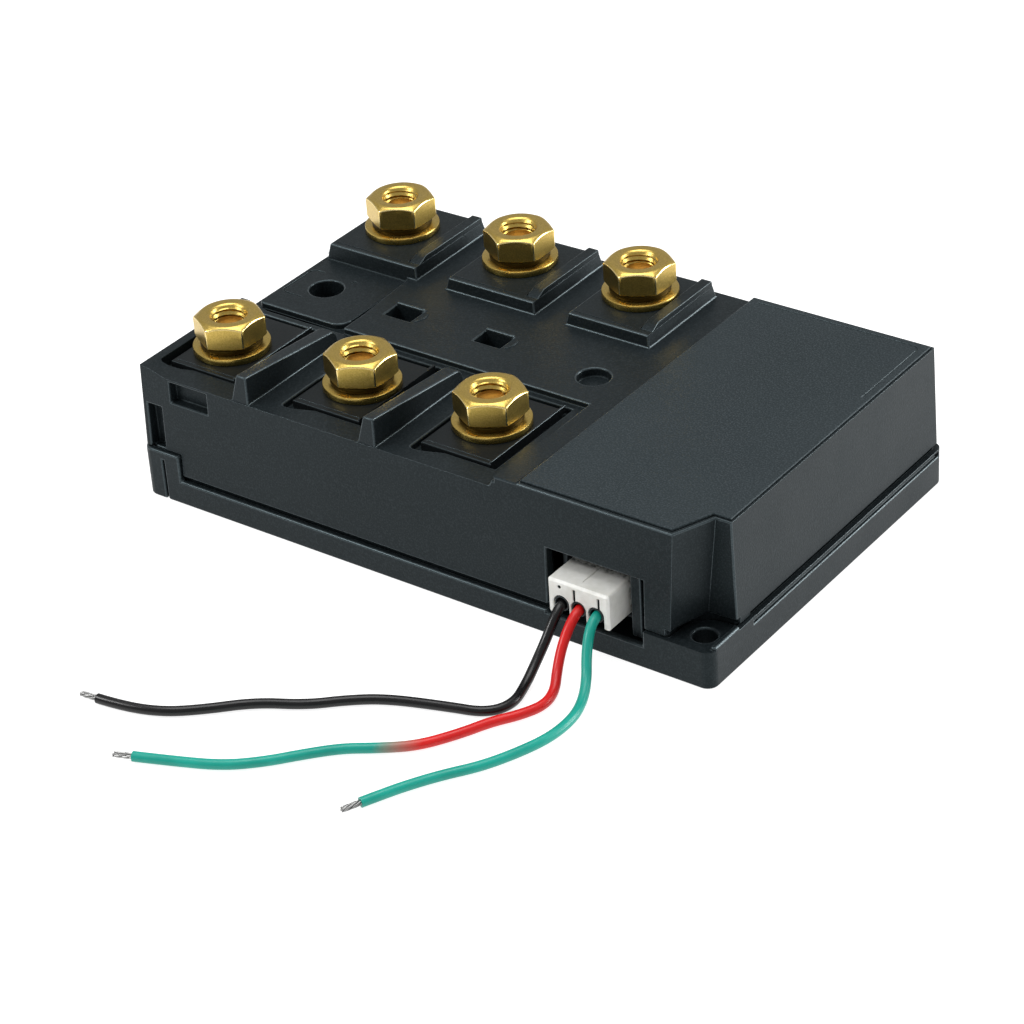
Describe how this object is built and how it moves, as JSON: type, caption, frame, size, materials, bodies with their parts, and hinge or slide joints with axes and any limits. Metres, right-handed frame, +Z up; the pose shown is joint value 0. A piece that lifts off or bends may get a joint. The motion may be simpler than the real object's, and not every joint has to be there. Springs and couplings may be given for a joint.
{
  "type": "battery monitor shunt",
  "caption": "Flat dark case with two rows of brass stud terminals with ribs between, a closed board compartment, a corner mounting lug, and a white plug with loose wires.",
  "frame": {"origin": "centre of the case's footprint, on the surface it stands on", "axes": "+X to the right along the long front face, -Y out of the front face with the plug, +Z up"},
  "size_m": [0.1384, 0.1603, 0.0404],
  "materials": {
    "case_plastic": "dark slate-black moulded plastic with a fine speckled grain",
    "lid_plastic": "dark slate-black moulded plastic, fine grain",
    "seat_plastic": "black moulded plastic",
    "stud_brass": "machined brass",
    "terminal_brass": "satin brass with bright worn edges",
    "copper": "plain copper block",
    "manganin": "rolled resistance alloy sheet",
    "board": "green solder-resist board",
    "chip_black": "black moulded package",
    "can_metal": "drawn aluminium can",
    "lead_insulation": "thin white insulated lead",
    "socket_plastic": "black moulded socket",
    "tinned": "tinned metal",
    "plug_nylon": "translucent off-white nylon",
    "seal_rubber": "black rubber",
    "wire_black": "glossy black insulation",
    "wire_red": "glossy red insulation, teal green towards its free end",
    "wire_green": "glossy teal green insulation",
    "screw_steel": "zinc plated steel"
  },
  "bodies": {
    "case": {"base_tray": "case_plastic", "upper_shell": "case_plastic", "compartment_lid": "lid_plastic", "terminal_seat_front_1": "seat_plastic", "terminal_seat_front_2": "seat_plastic", "terminal_seat_front_3": "seat_plastic", "terminal_studs_front": "stud_brass", "terminal_studs_rear": "stud_brass", "copper_block_front_1": "copper", "copper_block_front_2": "copper", "copper_block_front_3": "copper", "copper_block_rear_1": "copper", "copper_block_rear_2": "copper", "copper_block_rear_3": "copper", "resistance_strips_1": "manganin", "resistance_strips_2": "manganin", "resistance_strips_3": "manganin", "circuit_board": "board", "amplifier_chips": "chip_black", "controller_chip": "chip_black", "board_resistors": "chip_black", "power_inductor": "chip_black", "capacitors": "can_metal", "sense_leads": "lead_insulation", "socket_body": "socket_plastic", "socket_pins": "tinned", "case_screws": "screw_steel", "board_screws": "screw_steel"},
    "plug": {"plug_body": "plug_nylon", "plug_contacts": "tinned", "wire_seals": "seal_rubber", "wire_black": "wire_black", "wire_red": "wire_red", "wire_green": "wire_green", "wire_tip_black": "tinned", "wire_tip_red": "tinned", "wire_tip_green": "tinned"},
    "washers_front_1": {"flat_washer_front_1": "terminal_brass", "lock_washer_front_1": "terminal_brass"},
    "nut_front_1": {"nut_front_1": "terminal_brass"},
    "washers_front_2": {"flat_washer_front_2": "terminal_brass", "lock_washer_front_2": "terminal_brass"},
    "nut_front_2": {"nut_front_2": "terminal_brass"},
    "washers_front_3": {"flat_washer_front_3": "terminal_brass", "lock_washer_front_3": "terminal_brass"},
    "nut_front_3": {"nut_front_3": "terminal_brass"},
    "washers_rear_1": {"flat_washer_rear_1": "terminal_brass", "lock_washer_rear_1": "terminal_brass"},
    "nut_rear_1": {"nut_rear_1": "terminal_brass"},
    "washers_rear_2": {"flat_washer_rear_2": "terminal_brass", "lock_washer_rear_2": "terminal_brass"},
    "nut_rear_2": {"nut_rear_2": "terminal_brass"},
    "washers_rear_3": {"flat_washer_rear_3": "terminal_brass", "lock_washer_rear_3": "terminal_brass"},
    "nut_rear_3": {"nut_rear_3": "terminal_brass"}
  },
  "joints": [
    {"name": "plug_slide", "type": "slide", "parent": "case", "child": "plug", "axis": [0, -1, 0], "range_m": [0, 0.012]},
    {"name": "turn_front_1", "type": "hinge", "parent": "case", "child": "washers_front_1", "pos_m": [-0.0571, -0.0256, 0.029], "axis": [0, 0, 1], "range_deg": [0, 900]},
    {"name": "rise_front_1", "type": "slide", "parent": "washers_front_1", "child": "nut_front_1", "axis": [0, 0, 1], "range_m": [0, 0.00313]},
    {"name": "turn_front_2", "type": "hinge", "parent": "case", "child": "washers_front_2", "pos_m": [-0.0243, -0.0244, 0.029], "axis": [0, 0, 1], "range_deg": [0, 900]},
    {"name": "rise_front_2", "type": "slide", "parent": "washers_front_2", "child": "nut_front_2", "axis": [0, 0, 1], "range_m": [0, 0.00313]},
    {"name": "turn_front_3", "type": "hinge", "parent": "case", "child": "washers_front_3", "pos_m": [0.0069, -0.0235, 0.029], "axis": [0, 0, 1], "range_deg": [0, 900]},
    {"name": "rise_front_3", "type": "slide", "parent": "washers_front_3", "child": "nut_front_3", "axis": [0, 0, 1], "range_m": [0, 0.00313]},
    {"name": "turn_rear_1", "type": "hinge", "parent": "case", "child": "washers_rear_1", "pos_m": [-0.0545, 0.0286, 0.0324], "axis": [0, 0, 1], "range_deg": [0, 900]},
    {"name": "rise_rear_1", "type": "slide", "parent": "washers_rear_1", "child": "nut_rear_1", "axis": [0, 0, 1], "range_m": [0, 0.00313]},
    {"name": "turn_rear_2", "type": "hinge", "parent": "case", "child": "washers_rear_2", "pos_m": [-0.0238, 0.029, 0.0324], "axis": [0, 0, 1], "range_deg": [0, 900]},
    {"name": "rise_rear_2", "type": "slide", "parent": "washers_rear_2", "child": "nut_rear_2", "axis": [0, 0, 1], "range_m": [0, 0.00313]},
    {"name": "turn_rear_3", "type": "hinge", "parent": "case", "child": "washers_rear_3", "pos_m": [0.0063, 0.0292, 0.0324], "axis": [0, 0, 1], "range_deg": [0, 900]},
    {"name": "rise_rear_3", "type": "slide", "parent": "washers_rear_3", "child": "nut_rear_3", "axis": [0, 0, 1], "range_m": [0, 0.00313]}
  ],
  "couplings": [
    {"joint": "turn_front_1", "follows": "rise_front_1", "rad_per_m": 5026.5},
    {"joint": "turn_front_2", "follows": "rise_front_2", "rad_per_m": 5026.5},
    {"joint": "turn_front_3", "follows": "rise_front_3", "rad_per_m": 5026.5},
    {"joint": "turn_rear_1", "follows": "rise_rear_1", "rad_per_m": 5026.5},
    {"joint": "turn_rear_2", "follows": "rise_rear_2", "rad_per_m": 5026.5},
    {"joint": "turn_rear_3", "follows": "rise_rear_3", "rad_per_m": 5026.5}
  ]
}
